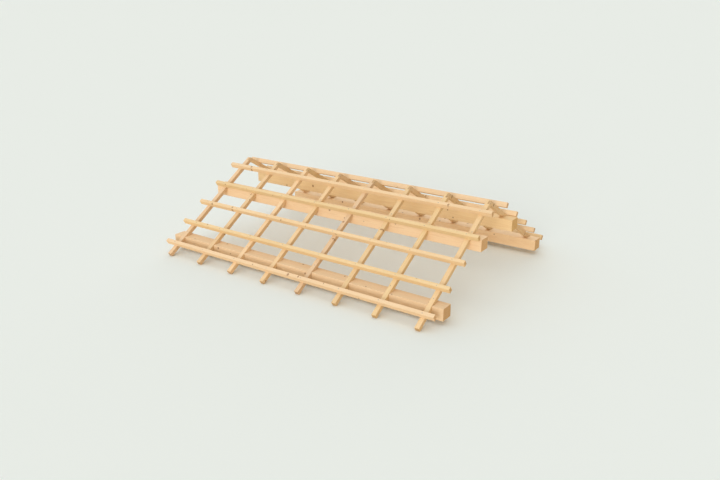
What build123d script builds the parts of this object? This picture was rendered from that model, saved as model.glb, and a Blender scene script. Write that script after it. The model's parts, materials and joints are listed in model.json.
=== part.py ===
from build123d import *
import math
import os

os.makedirs("parts", exist_ok=True)

# Timber frame of a small gable roof: purlins, rafter couples and battens.
# X runs along the ridge, Y across the span, Z up. The origin is under the middle of the frame,
# at the level of the rafter tips that it stands on.

# Driving dimensions, in millimetres and degrees
PITCH = 31.4
FRAME_LENGTH = 4000.0

PURLIN_WIDTH = 160.0
PURLIN_HEIGHT = 140.0
PLATE_OFFSET = 1230.0
MIDDLE_OFFSET = 410.0

RAFTER_COUPLES = 8
RAFTER_END_MARGIN = 135.0
RAFTER_WIDTH = 55.0
RAFTER_DEPTH = 50.0
RAFTER_TAIL = 300.0

SEAT_HEEL = 16.0
SEAT_SIDE_GAP = 0.5
LAP_GAP = 0.5
PURLIN_BATTEN_GAP = 2.5

BATTEN_WIDTH = 45.0
BATTEN_DEPTH = 60.0
BATTEN_GAUGE = 365.0
BATTEN_RIDGE_MARGIN = 195.0
BATTEN_END_MARGIN = 20.0

CUT_OVERRUN = 20.0

# What follows from the pitch: a rafter runs from the ridge past the wall plate by its tail
COSINE = math.cos(math.radians(PITCH))
SINE = math.sin(math.radians(PITCH))
TANGENT = math.tan(math.radians(PITCH))
PLUMB_DEPTH = RAFTER_DEPTH / COSINE
RAFTER_LENGTH = (PLATE_OFFSET + PURLIN_WIDTH / 2) / COSINE + RAFTER_TAIL
RIDGE_LEVEL = RAFTER_LENGTH * SINE + RAFTER_DEPTH * COSINE

# What repeats: the couples share out the purlins' length, the battens go down as far as the rafters
RAFTER_SPACING = (FRAME_LENGTH - 2 * RAFTER_END_MARGIN - RAFTER_WIDTH) / (RAFTER_COUPLES - 1)
BATTEN_RUN = RAFTER_LENGTH - BATTEN_RIDGE_MARGIN - BATTEN_WIDTH
BATTEN_ROWS = 1 + math.floor(BATTEN_RUN / BATTEN_GAUGE)


def top_level(y):
    """Height of the rafters' upper face at a distance y from the ridge."""
    return RIDGE_LEVEL - y * TANGENT


def under_level(y):
    """Height of the rafters' under face at a distance y from the ridge."""
    return top_level(y) - PLUMB_DEPTH


def under_reach(level):
    """Distance from the ridge at which the rafters' under face has this height."""
    return (RIDGE_LEVEL - PLUMB_DEPTH - level) / TANGENT


def outer_face(offset):
    """Distance from the ridge to a purlin's outer face."""
    return offset + PURLIN_WIDTH / 2


def purlin_top(offset):
    """Top of a purlin, whose outer arris lies just under the battens."""
    return top_level(outer_face(offset)) - PURLIN_BATTEN_GAP


def seat_level(offset):
    """Level on which a rafter bears: its heel is this much above its under face."""
    return under_level(outer_face(offset)) + SEAT_HEEL


def slope_point(along, above):
    """Point of the section: a distance down the slope, and a height square to it."""
    y = along * COSINE + above * SINE
    z = RIDGE_LEVEL - along * SINE + above * COSINE
    return (y, z)


def prism(points, low_x, high_x, side):
    """Solid with an outline of (distance from ridge, height) points, from low_x to high_x."""
    outline = [(side * y, z) for y, z in points]
    start = Plane(origin=(low_x, 0, 0), x_dir=(0, 1, 0), z_dir=(1, 0, 0))
    face = start * make_face(Polyline(*outline, close=True))
    return extrude(face, amount=high_x - low_x, dir=(1, 0, 0))


def rafter_centre(number):
    """Place of a rafter couple along the ridge."""
    return (number - (RAFTER_COUPLES - 1) / 2) * RAFTER_SPACING


def housing(offset, centre, side):
    """Notch in a purlin's outer top edge that takes one rafter: a level floor, then the slope."""
    outer = outer_face(offset) + CUT_OVERRUN
    floor = seat_level(offset)
    over = purlin_top(offset) + CUT_OVERRUN
    points = [
        (outer, floor),
        (under_reach(floor), floor),
        (under_reach(over), over),
        (outer, over),
    ]
    half = RAFTER_WIDTH / 2 + SEAT_SIDE_GAP
    return prism(points, centre - half, centre + half, side)


def purlin(offset, side):
    """Squared beam with a housing for each rafter."""
    inner = offset - PURLIN_WIDTH / 2
    outer = outer_face(offset)
    top = purlin_top(offset)
    bottom = top - PURLIN_HEIGHT
    section = [(inner, bottom), (outer, bottom), (outer, top), (inner, top)]
    beam = prism(section, -FRAME_LENGTH / 2, FRAME_LENGTH / 2, side)
    for number in range(RAFTER_COUPLES):
        beam -= housing(offset, rafter_centre(number), side)
    return beam


def birdsmouth(offset, centre, side):
    """Notch in a rafter's under face: a level seat, and a plumb heel at the purlin's outer face."""
    outer = outer_face(offset)
    seat = seat_level(offset)
    low = under_level(outer) - CUT_OVERRUN
    inner = under_reach(seat) - CUT_OVERRUN
    points = [(inner, low), (outer, low), (outer, seat), (inner, seat)]
    half = RAFTER_WIDTH / 2 + CUT_OVERRUN
    return prism(points, centre - half, centre + half, side)


def ridge_lap(centre, side):
    """The half of a rafter's head that its mate across the ridge fills."""
    half = RAFTER_WIDTH / 2 + CUT_OVERRUN
    reach = PLUMB_DEPTH / 2 / TANGENT
    middle = RIDGE_LEVEL - PLUMB_DEPTH / 2
    points = [
        (0, RIDGE_LEVEL + CUT_OVERRUN),
        (reach + CUT_OVERRUN, middle + CUT_OVERRUN),
        (reach, middle),
        (0, RIDGE_LEVEL - PLUMB_DEPTH),
        (-reach - CUT_OVERRUN, middle),
    ]
    if side < 0:
        return prism(points, centre - LAP_GAP / 2, centre + half, side)
    return prism(points, centre - half, centre + LAP_GAP / 2, side)


def rafter(number, side):
    """Rafter with a birdsmouth for each purlin, a square tail and a halved head."""
    centre = rafter_centre(number)
    half = RAFTER_WIDTH / 2
    reach = PLUMB_DEPTH / 2 / TANGENT
    outline = [
        (0, RIDGE_LEVEL),
        slope_point(RAFTER_LENGTH, 0),
        slope_point(RAFTER_LENGTH, -RAFTER_DEPTH),
        (0, RIDGE_LEVEL - PLUMB_DEPTH),
        (-reach, RIDGE_LEVEL - PLUMB_DEPTH / 2),
    ]
    body = prism(outline, centre - half, centre + half, side)
    for offset in (MIDDLE_OFFSET, PLATE_OFFSET):
        body -= birdsmouth(offset, centre, side)
    return body - ridge_lap(centre, side)


def batten(row, side):
    """Batten on edge, on the rafters' upper faces, a little shorter than the purlins."""
    half = FRAME_LENGTH / 2 - BATTEN_END_MARGIN
    near = BATTEN_RIDGE_MARGIN + row * BATTEN_GAUGE
    far = near + BATTEN_WIDTH
    section = [
        slope_point(near, 0),
        slope_point(far, 0),
        slope_point(far, BATTEN_DEPTH),
        slope_point(near, BATTEN_DEPTH),
    ]
    return prism(section, -half, half, side)


def write(solid, name):
    """One file for each timber."""
    export_step(solid, f"parts/{name}.step")


for slope, side in (("front", -1), ("back", 1)):
    write(purlin(PLATE_OFFSET, side), f"{slope}_wall_plate")
    write(purlin(MIDDLE_OFFSET, side), f"{slope}_purlin")
    for number in range(RAFTER_COUPLES):
        write(rafter(number, side), f"{slope}_rafter_{number + 1}")
    for row in range(BATTEN_ROWS):
        write(batten(row, side), f"{slope}_batten_{row + 1}")
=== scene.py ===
import json
import math
import random

import bmesh
import bpy
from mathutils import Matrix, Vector, noise


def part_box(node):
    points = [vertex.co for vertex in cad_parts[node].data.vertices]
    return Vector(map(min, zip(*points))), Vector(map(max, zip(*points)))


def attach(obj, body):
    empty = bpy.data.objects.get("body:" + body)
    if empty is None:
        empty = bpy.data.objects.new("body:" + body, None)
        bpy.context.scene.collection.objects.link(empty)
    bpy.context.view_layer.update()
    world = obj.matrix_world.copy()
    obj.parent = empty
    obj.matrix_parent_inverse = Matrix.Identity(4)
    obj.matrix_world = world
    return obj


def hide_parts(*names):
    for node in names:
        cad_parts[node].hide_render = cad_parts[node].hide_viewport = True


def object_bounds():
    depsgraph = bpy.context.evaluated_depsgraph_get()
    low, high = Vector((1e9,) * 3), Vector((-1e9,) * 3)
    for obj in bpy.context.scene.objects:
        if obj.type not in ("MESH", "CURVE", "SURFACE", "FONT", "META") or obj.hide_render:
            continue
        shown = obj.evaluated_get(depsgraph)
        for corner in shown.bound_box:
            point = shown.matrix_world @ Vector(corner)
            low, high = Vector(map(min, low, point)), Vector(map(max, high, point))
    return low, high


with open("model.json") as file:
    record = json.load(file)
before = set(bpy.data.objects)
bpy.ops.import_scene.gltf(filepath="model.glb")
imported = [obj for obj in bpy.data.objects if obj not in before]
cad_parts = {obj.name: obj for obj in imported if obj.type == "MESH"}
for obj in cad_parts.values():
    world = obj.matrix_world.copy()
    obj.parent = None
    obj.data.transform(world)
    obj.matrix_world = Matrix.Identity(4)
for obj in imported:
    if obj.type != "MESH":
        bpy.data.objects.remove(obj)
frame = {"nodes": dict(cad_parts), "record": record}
cad_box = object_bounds()

# Wall plates and middle purlins: four squared beams of boxed-heart softwood, sawn to size and left
# unplaned. A housing is cut into the outer top edge for every rafter, and the ends checked in drying.

SLOPES = ("front", "back")
PURLIN_KINDS = ("wall_plate", "purlin")
PURLIN_AXES = (Vector((1, 0, 0)), Vector((0, 1, 0)), Vector((0, 0, 1)))
PURLIN_ARRIS = 0.0035
PURLIN_STATION = 0.04
PURLIN_PITH_WANDER = 0.018
PURLIN_CHECKS = 4
PURLIN_SEED = 11
PURLIN_RING = 0.0065
PURLIN_EARLY_WOOD = (0.89, 0.675, 0.405, 1)
PURLIN_LATE_WOOD = (0.76, 0.515, 0.26, 1)
PURLIN_KNOT_WOOD = (0.36, 0.17, 0.07, 1)
# The end faces' colour is darker end grain with painted shade laid in
PURLIN_END_WOOD_AND_SHADE = (0.68, 0.385, 0.115, 1)


def sawn_timber(node, arris):
    """The mesh of one CAD timber with its arrises rounded. The rounded faces are the smooth ones."""
    weld = 1e-5
    flat_angle = 0.02
    sharp_angle = 0.3
    arris_facets = 3
    round_profile = 0.5
    timber = bmesh.new()
    timber.from_mesh(frame["nodes"][node].data)
    bmesh.ops.remove_doubles(timber, verts=timber.verts, dist=weld)
    bmesh.ops.dissolve_limit(timber, angle_limit=flat_angle, verts=timber.verts, edges=timber.edges)
    for face in timber.faces:
        face.smooth = False
    sharp = [edge for edge in timber.edges if edge.is_convex and edge.calc_face_angle() > sharp_angle]
    rounded = bmesh.ops.bevel(timber, geom=sharp, offset=arris, segments=arris_facets,
                              profile=round_profile, affect="EDGES", clamp_overlap=True)
    for face in rounded["faces"]:
        face.smooth = True
    mesh = bpy.data.meshes.new(node + "_timber")
    timber.to_mesh(mesh)
    timber.free()
    return mesh


def drying_checks(mesh, axes, centre, end, count, length, draw):
    """The mesh with thin radial cracks let into one end, each narrowing to nothing inside."""
    proud = 0.002
    gaps = (0.0008, 0.0022)
    stray_share = 0.28
    reach_shares = (0.55, 1.1)
    depth_shares = (0.35, 0.65)
    root_share = 0.06
    widest_share = 0.5
    deepest_share = 0.6
    along, across, deep = axes
    start = centre + along * end * proud
    wedges = bmesh.new()
    turn = draw.uniform(0, math.tau)
    for number in range(count):
        angle = turn + (number + draw.uniform(-stray_share, stray_share)) * math.tau / count
        radial = across * math.cos(angle) + deep * math.sin(angle)
        sideways = across * -math.sin(angle) + deep * math.cos(angle)
        reach = length * draw.uniform(*reach_shares)
        gap = draw.uniform(*gaps)
        depth = length * draw.uniform(*depth_shares)
        kite = [
            start + radial * reach * root_share,
            start + radial * reach * widest_share + sideways * gap / 2,
            start + radial * reach,
            start + radial * reach * widest_share - sideways * gap / 2,
        ]
        base = [wedges.verts.new(point) for point in kite]
        tip = wedges.verts.new(start + radial * reach * deepest_share - along * end * depth)
        wedges.faces.new(base)
        for first, second in zip(base, base[1:] + base[:1]):
            wedges.faces.new((second, first, tip))
    bmesh.ops.recalc_face_normals(wedges, faces=wedges.faces)
    cutter_mesh = bpy.data.meshes.new("check_cutter")
    wedges.to_mesh(cutter_mesh)
    wedges.free()
    cutter = bpy.data.objects.new("check_cutter", cutter_mesh)
    blank = bpy.data.objects.new("blank", mesh)
    for item in (cutter, blank):
        bpy.context.scene.collection.objects.link(item)
    cut = blank.modifiers.new("checks", "BOOLEAN")
    cut.operation = "DIFFERENCE"
    cut.solver = "EXACT"
    cut.object = cutter
    bpy.context.view_layer.update()
    opened = bpy.data.meshes.new_from_object(blank.evaluated_get(bpy.context.evaluated_depsgraph_get()))
    opened.name = mesh.name
    for item in (cutter, blank):
        bpy.data.objects.remove(item)
    return opened


def bruised(mesh, along, arris, station, draw):
    """Cuts a timber's mesh into stations along its length, and rubs and dents the arrises between them."""
    rub_waves = 7
    rub_share = 0.12
    dent_waves = 31
    dent_level = 0.3
    dent_share = 1.3
    seed_reach = 50
    timber = bmesh.new()
    timber.from_mesh(mesh)
    low = min(vert.co.dot(along) for vert in timber.verts)
    high = max(vert.co.dot(along) for vert in timber.verts)
    for step in range(1, int((high - low) / station)):
        everything = timber.verts[:] + timber.edges[:] + timber.faces[:]
        bmesh.ops.bisect_plane(timber, geom=everything, plane_co=along * (low + step * station),
                               plane_no=along)
    timber.normal_update()
    seed = Vector([draw.uniform(-seed_reach, seed_reach) for _ in range(3)])
    moves = []
    for vert in timber.verts:
        if all(face.smooth for face in vert.link_faces):
            rub = 0.5 + 0.5 * noise.noise(vert.co * rub_waves + seed)
            dent = max(0, noise.noise(vert.co * dent_waves + seed) - dent_level)
            moves.append((vert, vert.normal * arris * (rub_share * rub + dent_share * dent)))
    for vert, move in moves:
        vert.co -= move
    timber.to_mesh(mesh)
    timber.free()


def finish_timber(node, mesh, axes, pith, draw, material):
    """The piece that stands for a CAD timber, with its place in the tree written on its mesh."""
    tree_reach = 40
    end_facing = 0.75
    along, across, deep = axes
    start = draw.uniform(0, tree_reach)
    own = [draw.random() for _ in range(3)]
    for name in ("grain", "tone"):
        mesh.attributes.new(name, "FLOAT_VECTOR", "POINT")
    for name in ("end_grain", "worn"):
        mesh.attributes.new(name, "FLOAT", "FACE")
    written = mesh.attributes
    for grain, tone, vert in zip(written["grain"].data, written["tone"].data, mesh.vertices):
        rest = vert.co - pith
        grain.vector = (vert.co.dot(along) + start, rest.dot(across), rest.dot(deep))
        tone.vector = own
    for end, arris, face in zip(written["end_grain"].data, written["worn"].data, mesh.polygons):
        end.value = float(abs(face.normal.dot(along)) > end_facing)
        arris.value = float(face.use_smooth)
    mesh.materials.clear()
    mesh.materials.append(material)
    piece = bpy.data.objects.new(node + "_timber", mesh)
    bpy.context.scene.collection.objects.link(piece)
    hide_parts(node)
    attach(piece, "root")


class Shade:
    """A value, place or colour on a surface. Sums of values add their Math nodes."""

    def __init__(self, socket):
        self.socket = socket

    def node(self, kind, settings, sockets, output=0):
        tree = self.socket.id_data
        made = tree.nodes.new("ShaderNode" + kind)
        for key, value in settings.items():
            setattr(made, key, value)
        for key, value in sockets.items():
            if isinstance(value, Shade):
                tree.links.new(value.socket, made.inputs[key])
            else:
                made.inputs[key].default_value = value
        return Shade(made.outputs[output])

    def maths(self, operation, *others):
        terms = dict(enumerate((self, *others)))
        return self.node("Math", {"operation": operation}, terms)

    def __add__(self, other):
        return self.maths("ADD", other)

    def __sub__(self, other):
        return self.maths("SUBTRACT", other)

    def __mul__(self, other):
        return self.maths("MULTIPLY", other)

    def __truediv__(self, other):
        return self.maths("DIVIDE", other)

    def __rsub__(self, other):
        return self.node("Math", {"operation": "SUBTRACT"}, {0: other, 1: self})

    def __rtruediv__(self, other):
        return self.node("Math", {"operation": "DIVIDE"}, {0: other, 1: self})

    __radd__ = __add__
    __rmul__ = __mul__


def vector(operation, place, *others, output="Vector"):
    """Vector Math on a place, with another place or plain numbers."""
    terms = dict(enumerate((place, *others)))
    return place.node("VectorMath", {"operation": operation}, terms, output)


def cloud(place, waves, detail=2.0, output="Fac"):
    """Soft noise, with its own number of waves to the metre along the timber, across it and through it."""
    stretched = vector("MULTIPLY", place, waves)
    return place.node("TexNoise", {}, {"Vector": stretched, "Scale": 1.0, "Detail": detail}, output)


def ease(value, low, high):
    """From 0 to 1 as the value goes from low to high, smoothly, and held beyond."""
    return value.node("MapRange", {"interpolation_type": "SMOOTHSTEP"},
                      {"Value": value, "From Min": low, "From Max": high})


def between(share, low, high):
    """From low to high as the share goes from 0 to 1."""
    return share * (high - low) + low


def blend(share, first, second):
    """Two colours mixed by a share. A Mix node takes its colours in sockets 6 and 7."""
    return share.node("Mix", {"data_type": "RGBA"}, {0: share, 6: first, 7: second}, 2)


def darker(wood, share):
    """A wood of which this share of the light is left."""
    return tuple(part * share for part in wood[:3]) + (1,)


def branches(place, waver):
    """Knots: in each cell of the tree there may be one branch, drawn out from the pith.

    Gives the shares of knot wood, of its dark rim and of its own rings, and how far it pushes the growth
    rings out. The bands are in radii of the branch.
    """
    cell = (0.34, 0.12, 0.12)
    scatter = 0.9
    draw_out_share = 0.75
    missing_band = (0.24, 0.28)
    radii = (0.006, 0.014)
    edge_band = (0.8, 1.1)
    rim_inner_band = (0.65, 0.95)
    rim_outer_band = (1.0, 1.35)
    rings_to_radius = 3.5
    ring_waver = 2
    ring_band = (0.2, 0.9)
    flare_fall = -0.22

    cells = vector("DIVIDE", place, cell)
    nearest = {"Vector": cells, "Scale": 1.0, "Randomness": scatter}
    branch = cells.node("TexVoronoi", {}, nearest, "Position")
    lots = cells.node("TexVoronoi", {}, nearest, "Color")
    away = vector("MULTIPLY", vector("SUBTRACT", cells, branch), cell)
    outward = vector("NORMALIZE", vector("MULTIPLY", branch, (0.0, 1.0, 1.0)))
    run = vector("DOT_PRODUCT", away, outward, output="Value") * draw_out_share
    drawn = outward.node("VectorMath", {"operation": "SCALE"}, {0: outward, "Scale": run})
    there = ease(lots.node("SeparateColor", {}, {0: lots}, "Green"), *missing_band)
    radius = between(lots.node("SeparateColor", {}, {0: lots}, "Red"), *radii)
    far = vector("LENGTH", vector("SUBTRACT", away, drawn), output="Value") / radius

    knot = (1 - ease(far, *edge_band)) * there
    rim = ease(far, *rim_inner_band) * (1 - ease(far, *rim_outer_band)) * there
    rings = ease((far * rings_to_radius + waver * ring_waver).maths("FRACT"), *ring_band)
    flare = (far * far * flare_fall).maths("EXPONENT") * radius * there
    return knot, rim, rings, flare


def growth_rings(place, waver, flare, ring_width):
    """Late wood: each year's ring darkens from pale early wood to a hard line, in some years more."""
    sway_waves = (0.8, 3.0, 3.0)
    sway_reach = (0.0, 0.06, 0.06)
    flare_share = 1.3
    darkening_band = (0.3, 0.9)
    new_year_band = (0.93, 1.0)
    year_shares = (0.4, 1.0)

    sway = vector("SUBTRACT", cloud(place, sway_waves, output="Color"), (0.5, 0.5, 0.5))
    swayed = vector("ADD", place, vector("MULTIPLY", sway, sway_reach))
    radius = vector("LENGTH", vector("MULTIPLY", swayed, (0.0, 1.0, 1.0)), output="Value")
    rings = (radius + flare * flare_share) / ring_width + waver
    step = rings.maths("FRACT")
    year = rings.node("TexWhiteNoise", {"noise_dimensions": "1D"}, {"W": rings.maths("FLOOR")}, "Value")
    strength = between(year, *year_shares)
    return ease(step, *darkening_band) * (1 - ease(step, *new_year_band)) * strength


def saw_lines(place, end_grain):
    """The lines that the blade left across the timber, a little aslant and deeper in some places."""
    stroke_waves = (120.0, 15.0, -11.0)
    wobble = 1.6
    wobble_detail = 2.0
    wobble_waves = 0.4
    deeper_waves = (3.0, 9.0, 9.0)
    deeper_band = (0.35, 0.7)

    stroke = vector("MULTIPLY", place, stroke_waves)
    lines = stroke.node("TexWave", {"wave_type": "BANDS", "bands_direction": "DIAGONAL"},
                        {"Vector": stroke, "Scale": 1.0, "Distortion": wobble,
                         "Detail": wobble_detail, "Detail Scale": wobble_waves}, "Fac")
    return lines * ease(cloud(place, deeper_waves), *deeper_band) * (1 - end_grain)


def softwood(name, early, late, knot_wood, end_wood_and_shade, ring_width):
    """Sawn spruce as a solid: growth rings round the pith, knots, fibres, saw lines and end grain, with
    painted shade on the end faces.
    """
    material = bpy.data.materials.new(name)
    material.use_nodes = True
    tree = material.node_tree
    finish = tree.nodes["Principled BSDF"]
    reader = Shade(finish.inputs["Base Color"])
    place = reader.node("Attribute", {"attribute_name": "grain"}, {}, "Vector")
    tone = reader.node("Attribute", {"attribute_name": "tone"}, {}, "Vector")
    end_grain = reader.node("Attribute", {"attribute_name": "end_grain"}, {}, "Fac")
    worn = reader.node("Attribute", {"attribute_name": "worn"}, {}, "Fac")
    own_light = tone.node("SeparateXYZ", {}, {0: tone}, "X")
    own_hue = tone.node("SeparateXYZ", {}, {0: tone}, "Y")
    own_growth = tone.node("SeparateXYZ", {}, {0: tone}, "Z")

    # Figure: what the wood grew, what the saw left, and what weather and handling added
    waver_waves = (5.0, 40.0, 40.0)
    waver_reach = 0.5
    fibre_waves = (7.0, 700.0, 700.0)
    torn_waves = (70.0, 900.0, 900.0)
    stain_waves = (0.9, 7.0, 7.0)
    rub_waves = (9.0, 30.0, 30.0)
    rub_band = (0.4, 0.65)
    fine_detail = 3.0
    ring_shares = (0.75, 1.25)
    waver = cloud(place, waver_waves) * waver_reach
    fibre = cloud(place, fibre_waves, fine_detail)
    torn = cloud(place, torn_waves)
    stain = cloud(place, stain_waves, fine_detail)
    rubbed = worn * ease(cloud(place, rub_waves, fine_detail), *rub_band)
    knot, knot_rim, knot_rings, flare = branches(place, waver)
    own_ring = between(own_growth, *(ring_width * share for share in ring_shares))
    late_wood = growth_rings(place, waver, flare, own_ring)
    saw = saw_lines(place, end_grain)

    # Colour: each layer is a share of one wood, laid over those before it, and each timber has its own tone
    ring_share = 0.62
    fibre_band = (0.35, 0.8)
    fibre_share = 0.22
    torn_band = (0.45, 0.7)
    torn_share = 0.3
    saw_share = 0.3
    stain_band = (0.45, 0.75)
    stain_share = 0.3
    rub_share = 0.35
    knot_shares = (0.92, 0.62)
    rim_share = 0.55
    rim_dark_share = 0.5
    end_and_shade_share = 0.65
    end_ring_share = 0.45
    end_ring_dark_share = 0.6
    lights = (0.93, 1.07)
    hues = (0.494, 0.506)
    saturations = (0.94, 1.06)
    layers = (
        (late_wood * ring_share, late),
        (ease(fibre, *fibre_band) * fibre_share, late),
        (ease(torn, *torn_band) * torn_share, late),
        (saw * saw_share, late),
        (ease(stain, *stain_band) * stain_share, late),
        (rubbed * rub_share, late),
        (knot * between(knot_rings, *knot_shares), knot_wood),
        (knot_rim * rim_share, darker(knot_wood, rim_dark_share)),
        # End faces: the darker colour of end grain, with painted shade laid in
        (end_grain * end_and_shade_share, end_wood_and_shade),
        (end_grain * late_wood * end_ring_share, darker(end_wood_and_shade, end_ring_dark_share)),
    )
    colour = early
    for share, wood in layers:
        colour = blend(share, colour, wood)
    colour = colour.node("HueSaturation", {}, {"Color": colour,
                                               "Value": between(own_light, *lights),
                                               "Hue": between(own_hue, *hues),
                                               "Saturation": between(own_hue, *saturations)})
    tree.links.new(colour.socket, finish.inputs["Base Color"])

    # Relief in millimetres: late wood and knots stand proud, fibres are torn up, the saw left furrows
    millimetre = 0.001
    late_height = 0.08
    knot_height = 0.1
    fibre_height = 0.15
    torn_height = 0.25
    saw_depth = 0.16
    relief = late_wood * late_height + knot * knot_height
    relief = relief + fibre * fibre_height + torn * torn_height - saw * saw_depth
    bump = relief.node("Bump", {}, {"Height": relief, "Distance": millimetre}, "Normal")
    tree.links.new(bump.socket, finish.inputs["Normal"])

    # Sheen: the hard late wood is a little smoother, torn fibres are rougher
    sawn_roughness = 0.72
    late_smoother = 0.1
    torn_rougher = 0.1
    roughness = sawn_roughness - late_wood * late_smoother + torn * torn_rougher
    tree.links.new(roughness.socket, finish.inputs["Roughness"])
    return material


purlin_wood = softwood("purlin_softwood", PURLIN_EARLY_WOOD, PURLIN_LATE_WOOD, PURLIN_KNOT_WOOD,
                       PURLIN_END_WOOD_AND_SHADE, PURLIN_RING)
draw = random.Random(PURLIN_SEED)
for slope in SLOPES:
    for kind in PURLIN_KINDS:
        node = f"{slope}_{kind}"
        low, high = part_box(node)
        wander_y = draw.uniform(-PURLIN_PITH_WANDER, PURLIN_PITH_WANDER)
        wander_z = draw.uniform(-PURLIN_PITH_WANDER, PURLIN_PITH_WANDER)
        pith = (low + high) / 2 + Vector((0, wander_y, wander_z))
        mesh = sawn_timber(node, PURLIN_ARRIS)
        for end in (-1, 1):
            face = Vector((high.x * end, pith.y, pith.z))
            mesh = drying_checks(mesh, PURLIN_AXES, face, end, PURLIN_CHECKS, high.z - low.z, draw)
        bruised(mesh, PURLIN_AXES[0], PURLIN_ARRIS, PURLIN_STATION, draw)
        finish_timber(node, mesh, PURLIN_AXES, pith, draw, purlin_wood)

# Rafters: eight couples of slim softwood, laid flat. Each drops into its housings with a birdsmouth,
# is halved over its mate at the ridge, and runs on past the wall plate to a square-cut tail.

RAFTER_COUPLES = sum(1 for node in frame["nodes"] if node.startswith("front_rafter"))
RAFTER_ARRIS = 0.002
RAFTER_STATION = 0.03
RAFTER_PITH_REACH = (0.03, 0.11)
RAFTER_SEED = 23
RAFTER_RING = 0.0045
RAFTER_EARLY_WOOD = (0.85, 0.638, 0.378, 1)
RAFTER_LATE_WOOD = (0.71, 0.467, 0.228, 1)
RAFTER_KNOT_WOOD = (0.38, 0.18, 0.075, 1)
# The end faces' colour is darker end grain with painted shade laid in, strongest on the tails
RAFTER_END_WOOD_AND_SHADE = (0.47, 0.27, 0.105, 1)
mounts = {mount["name"]: mount for mount in frame["record"]["mounts"]}


def slope_axes(slope):
    """Down the slope, along the ridge, and square out of the slope."""
    out = Vector(mounts[f"{slope}_batten_1_top"]["axis"])
    ridge = Vector((1, 0, 0))
    down = Vector((0, math.copysign(out.z, out.y), -abs(out.y)))
    return down, ridge, out


def outside_pith(middle, axes, reach, draw):
    """A pith beside a timber that was cut from the outer wood of the log."""
    angle = draw.uniform(0, math.tau)
    away = draw.uniform(*reach)
    return middle + (axes[1] * math.cos(angle) + axes[2] * math.sin(angle)) * away


rafter_wood = softwood("rafter_softwood", RAFTER_EARLY_WOOD, RAFTER_LATE_WOOD, RAFTER_KNOT_WOOD,
                       RAFTER_END_WOOD_AND_SHADE, RAFTER_RING)
draw = random.Random(RAFTER_SEED)
for slope in SLOPES:
    axes = slope_axes(slope)
    for number in range(1, RAFTER_COUPLES + 1):
        node = f"{slope}_rafter_{number}"
        low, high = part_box(node)
        mesh = sawn_timber(node, RAFTER_ARRIS)
        bruised(mesh, axes[0], RAFTER_ARRIS, RAFTER_STATION, draw)
        pith = outside_pith((low + high) / 2, axes, RAFTER_PITH_REACH, draw)
        finish_timber(node, mesh, axes, pith, draw, rafter_wood)

# Battens: five evenly spaced rows of softwood on edge across each slope, from near the ridge down to
# the tails. They lie on the rafters' upper faces, and a nail holds them at every crossing.

BATTEN_ROWS = sum(1 for node in frame["nodes"] if node.startswith("front_batten"))
BATTEN_ARRIS = 0.002
BATTEN_STATION = 0.04
BATTEN_PITH_REACH = (0.03, 0.10)
BATTEN_SEED = 37
BATTEN_RING = 0.004
BATTEN_EARLY_WOOD = (0.86, 0.655, 0.395, 1)
BATTEN_LATE_WOOD = (0.72, 0.485, 0.242, 1)
BATTEN_KNOT_WOOD = (0.40, 0.19, 0.08, 1)
# The end faces' colour is darker end grain with painted shade laid in
BATTEN_END_WOOD_AND_SHADE = (0.68, 0.40, 0.16, 1)

batten_wood = softwood("batten_softwood", BATTEN_EARLY_WOOD, BATTEN_LATE_WOOD, BATTEN_KNOT_WOOD,
                       BATTEN_END_WOOD_AND_SHADE, BATTEN_RING)
draw = random.Random(BATTEN_SEED)
for slope in SLOPES:
    down, ridge, out = slope_axes(slope)
    axes = (ridge, down, out)
    for row in range(1, BATTEN_ROWS + 1):
        node = f"{slope}_batten_{row}"
        low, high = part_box(node)
        mesh = sawn_timber(node, BATTEN_ARRIS)
        bruised(mesh, axes[0], BATTEN_ARRIS, BATTEN_STATION, draw)
        pith = outside_pith((low + high) / 2, axes, BATTEN_PITH_REACH, draw)
        finish_timber(node, mesh, axes, pith, draw, batten_wood)

# Nails: flat-headed steel wire nails, driven until the heads bed in the wood. One goes through every
# batten into the rafter, one through every rafter into each purlin, and two from either side into
# every ridge lap.

NAIL_HEAD = 0.005
NAIL_PROUD = 0.0012
NAIL_SIDES = 14
NAIL_LEAN = 0.05
NAIL_STRAY = 0.012
NAIL_STRAY_ON_BATTEN = 0.006
NAIL_STRAY_ON_LAP = 0.004
NAIL_SEED = 41
LAP_NAIL_OFFSET = 0.02
HEAD_PROFILE_SHARES = ((0.35, 1.0), (0.8, 0.92), (0.97, 0.6), (1.0, 0.1), (0.96, -0.8))
NAIL_GREY = (0.42, 0.42, 0.43, 1)
NAIL_RUST = (0.25, 0.12, 0.06, 1)


def nail_heads(name, places, draw):
    """One mesh of nail heads, each at a point on a face and square to it, give or take a little."""
    heads = bmesh.new()
    for point, out in places:
        lean = Vector([draw.uniform(-NAIL_LEAN, NAIL_LEAN) for _ in range(3)])
        up = (out + lean).normalized()
        side = up.orthogonal().normalized()
        turned = up.cross(side)
        loops = []
        for width, height in HEAD_PROFILE_SHARES:
            loop = []
            for corner in range(NAIL_SIDES):
                angle = math.tau * corner / NAIL_SIDES
                spoke = side * math.cos(angle) + turned * math.sin(angle)
                loop.append(heads.verts.new(point + spoke * NAIL_HEAD * width + up * NAIL_PROUD * height))
            loops.append(loop)
        heads.faces.new(loops[0])
        heads.faces.new(loops[-1][::-1])
        for upper, lower in zip(loops, loops[1:]):
            for corner in range(NAIL_SIDES):
                after = (corner + 1) % NAIL_SIDES
                heads.faces.new((upper[after], upper[corner], lower[corner], lower[after]))
    bmesh.ops.recalc_face_normals(heads, faces=heads.faces)
    mesh = bpy.data.meshes.new(name)
    heads.to_mesh(mesh)
    heads.free()
    for face in mesh.polygons:
        face.use_smooth = True
    piece = bpy.data.objects.new(name, mesh)
    bpy.context.scene.collection.objects.link(piece)
    piece.modifiers.new("head_shading", "WEIGHTED_NORMAL")
    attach(piece, "root")
    return piece


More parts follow.
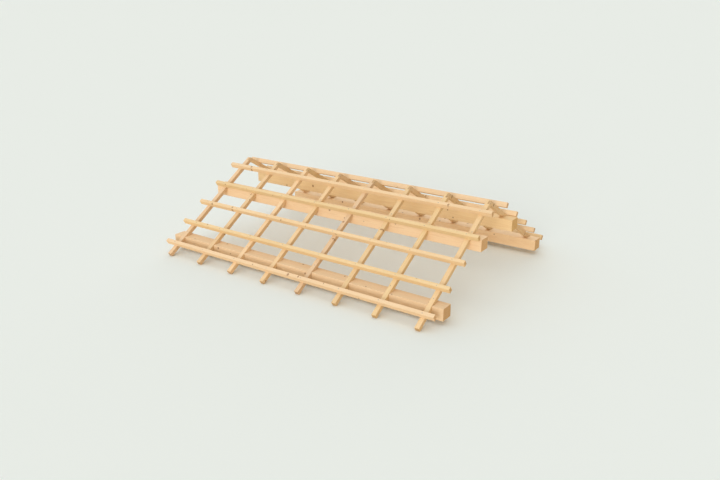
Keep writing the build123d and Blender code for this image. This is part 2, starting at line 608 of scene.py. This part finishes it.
def nail_steel():
    """Drawn steel gone dull, with a brown bloom of rust here and there."""
    material = bpy.data.materials.new("nail_steel")
    material.use_nodes = True
    tree = material.node_tree
    finish = tree.nodes["Principled BSDF"]
    reader = Shade(finish.inputs["Base Color"])
    place = reader.node("TexCoord", {}, {}, "Object")
    rust_waves = (160.0, 160.0, 160.0)
    rust_detail = 3.0
    rust_band = (0.5, 0.68)
    metal_shares = (1.0, 0.15)
    roughnesses = (0.4, 0.75)
    rust = ease(cloud(place, rust_waves, rust_detail), *rust_band)
    tree.links.new(blend(rust, NAIL_GREY, NAIL_RUST).socket, finish.inputs["Base Color"])
    tree.links.new(between(rust, *metal_shares).socket, finish.inputs["Metallic"])
    tree.links.new(between(rust, *roughnesses).socket, finish.inputs["Roughness"])
    return material


def stray(reach, draw):
    """How far one nail misses its mark."""
    return draw.uniform(-reach, reach)


draw = random.Random(NAIL_SEED)
couples = [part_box(f"front_rafter_{number}") for number in range(1, RAFTER_COUPLES + 1)]
tail_corner, ridge_corner = couples[0]
ridge_level = ridge_corner.z
batten_nails = []
seat_nails = []
for slope in SLOPES:
    down, ridge, out = slope_axes(slope)
    for left, right in couples:
        centre = (left.x + right.x) / 2
        for row in range(1, BATTEN_ROWS + 1):
            top = Vector(mounts[f"{slope}_batten_{row}_top"]["pos_m"])
            missed = ridge * stray(NAIL_STRAY, draw) + down * stray(NAIL_STRAY_ON_BATTEN, draw)
            batten_nails.append((top + ridge * centre + missed, out))
        for kind in PURLIN_KINDS:
            middle = sum(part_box(f"{slope}_{kind}"), Vector()) / 2
            along = abs(middle.y / down.y) + stray(NAIL_STRAY, draw)
            apex = Vector((centre + stray(NAIL_STRAY, draw), 0, ridge_level))
            seat_nails.append((apex + down * along, out))

# A tail's upper corner stands above its lower one, on the floor, by the rafter's plumb depth times cosine
# squared. The lap is nailed at half that plumb depth.
down, ridge, out = slope_axes("front")
upper_corner_level = ridge_level + tail_corner.y / down.y * down.z
lap_middle = ridge_level - upper_corner_level / out.z**2 / 2
ridge_nails = []
for left, right in couples:
    for face, facing in ((left.x, -1), (right.x, 1)):
        for side in (-1, 1):
            mark = Vector((face, side * LAP_NAIL_OFFSET, lap_middle))
            missed = Vector((0, stray(NAIL_STRAY_ON_LAP, draw), stray(NAIL_STRAY_ON_LAP, draw)))
            ridge_nails.append((mark + missed, ridge * facing))
steel = nail_steel()
nail_groups = {"batten_nails": batten_nails, "seat_nails": seat_nails, "ridge_nails": ridge_nails}
for name, places in nail_groups.items():
    nails = nail_heads(name, places, draw)
    nails.data.materials.append(steel)

# Floor: a plain pale matte floor that runs out past the view on every side, at the level of the rafter
# tips that the frame stands on. The light that it throws back up at the timber is warm.

FLOOR_REACH = 300.0
FLOOR_PAINT = (0.840, 0.902, 0.8645, 1)
FLOOR_BOUNCE = (0.78, 0.69, 0.54, 1)
FLOOR_GLOSS = 0


def shown(reader):
    """1 on the rays by which the stage is seen: straight from the camera, or by way of gloss or glass."""
    kinds = ("Camera", "Glossy", "Transmission")
    camera, glossy, transmission = (reader.node("LightPath", {}, {}, f"Is {kind} Ray") for kind in kinds)
    return camera.maths("MAXIMUM", glossy).maths("MAXIMUM", transmission)


floor_corners = [(-1, -1), (1, -1), (1, 1), (-1, 1)]
floor_mesh = bpy.data.meshes.new("floor")
floor_mesh.from_pydata([(x * FLOOR_REACH, y * FLOOR_REACH, cad_box[0].z) for x, y in floor_corners], [],
                       [(0, 1, 2, 3)])
floor = bpy.data.objects.new("floor", floor_mesh)
bpy.context.scene.collection.objects.link(floor)
floor_paint = bpy.data.materials.new("pale_floor")
floor_paint.use_nodes = True
floor_finish = floor_paint.node_tree.nodes["Principled BSDF"]
floor_seen = shown(Shade(floor_finish.inputs["Base Color"]))
floor_colour = blend(floor_seen, FLOOR_BOUNCE, FLOOR_PAINT)
floor_paint.node_tree.links.new(floor_colour.socket, floor_finish.inputs["Base Color"])
floor_finish.inputs["Specular IOR Level"].default_value = FLOOR_GLOSS
floor_mesh.materials.append(floor_paint)

# Light: a studio that is white on the left and dimmer and warmer on the right, with soft lamps low in
# front and behind and a broad one overhead. What the camera sees of it is as pale as the floor.

STUDIO_BRIGHT_SIDE = Vector((-0.85, -0.45, 0.25)).normalized()
STUDIO_BRIGHT = (0.90, 0.92, 0.97, 1)
STUDIO_DIM = (0.41, 0.31, 0.20, 1)
BACKDROP = (0.807, 0.8385, 0.7915, 1)

# Each lamp's name, the direction towards it, its strength, and its breadth in degrees
LAMPS = (
    ("front_lamp", Vector((0.22, -0.95, 0.20)), 1.15, 26),
    ("overhead_lamp", Vector((-0.10, -0.15, 1.0)), 0.42, 70),
    ("back_lamp", Vector((-0.35, 0.88, 0.26)), 0.70, 45),
)

studio = bpy.data.worlds.new("studio")
studio.use_nodes = True
wall = studio.node_tree.nodes["Background"]
reader = Shade(wall.inputs["Color"])
heading = reader.node("TexCoord", {}, {}, "Generated")
facing = vector("DOT_PRODUCT", heading, STUDIO_BRIGHT_SIDE, output="Value")
wall_light = blend((facing + 1) / 2, STUDIO_DIM, STUDIO_BRIGHT)
studio.node_tree.links.new(blend(shown(reader), wall_light, BACKDROP).socket, wall.inputs["Color"])
bpy.context.scene.world = studio
for name, toward_lamp, energy, breadth in LAMPS:
    lamp = bpy.data.lights.new(name, "SUN")
    lamp.energy = energy
    lamp.angle = math.radians(breadth)
    stand = bpy.data.objects.new(name, lamp)
    stand.rotation_mode = "QUATERNION"
    stand.rotation_quaternion = toward_lamp.to_track_quat("Z", "Y")
    bpy.context.scene.collection.objects.link(stand)

# Camera: it looks down on the front slope and into the right-hand gable from about nine metres away,
# at the photograph's viewing angle. Its place, aim and lens were fitted to straight edges there.

CAMERA_PLACE = Vector((5.009, -7.136, 3.321))
CAMERA_AZIMUTH = math.radians(34.75)
CAMERA_ELEVATION = math.radians(20.06)
CAMERA_LENS = 35.35
CAMERA_FILM = 36.0

camera_data = bpy.data.cameras.new("camera")
camera_data.lens = CAMERA_LENS
camera_data.sensor_width = CAMERA_FILM
camera = bpy.data.objects.new("camera", camera_data)
backwards = Vector((math.sin(CAMERA_AZIMUTH) * math.cos(CAMERA_ELEVATION),
                    -math.cos(CAMERA_AZIMUTH) * math.cos(CAMERA_ELEVATION),
                    math.sin(CAMERA_ELEVATION)))
camera.location = CAMERA_PLACE
camera.rotation_mode = "QUATERNION"
camera.rotation_quaternion = (-backwards).to_track_quat("-Z", "Y")
bpy.context.scene.collection.objects.link(camera)
bpy.context.scene.camera = camera
bpy.context.scene.view_settings.view_transform = "Standard"
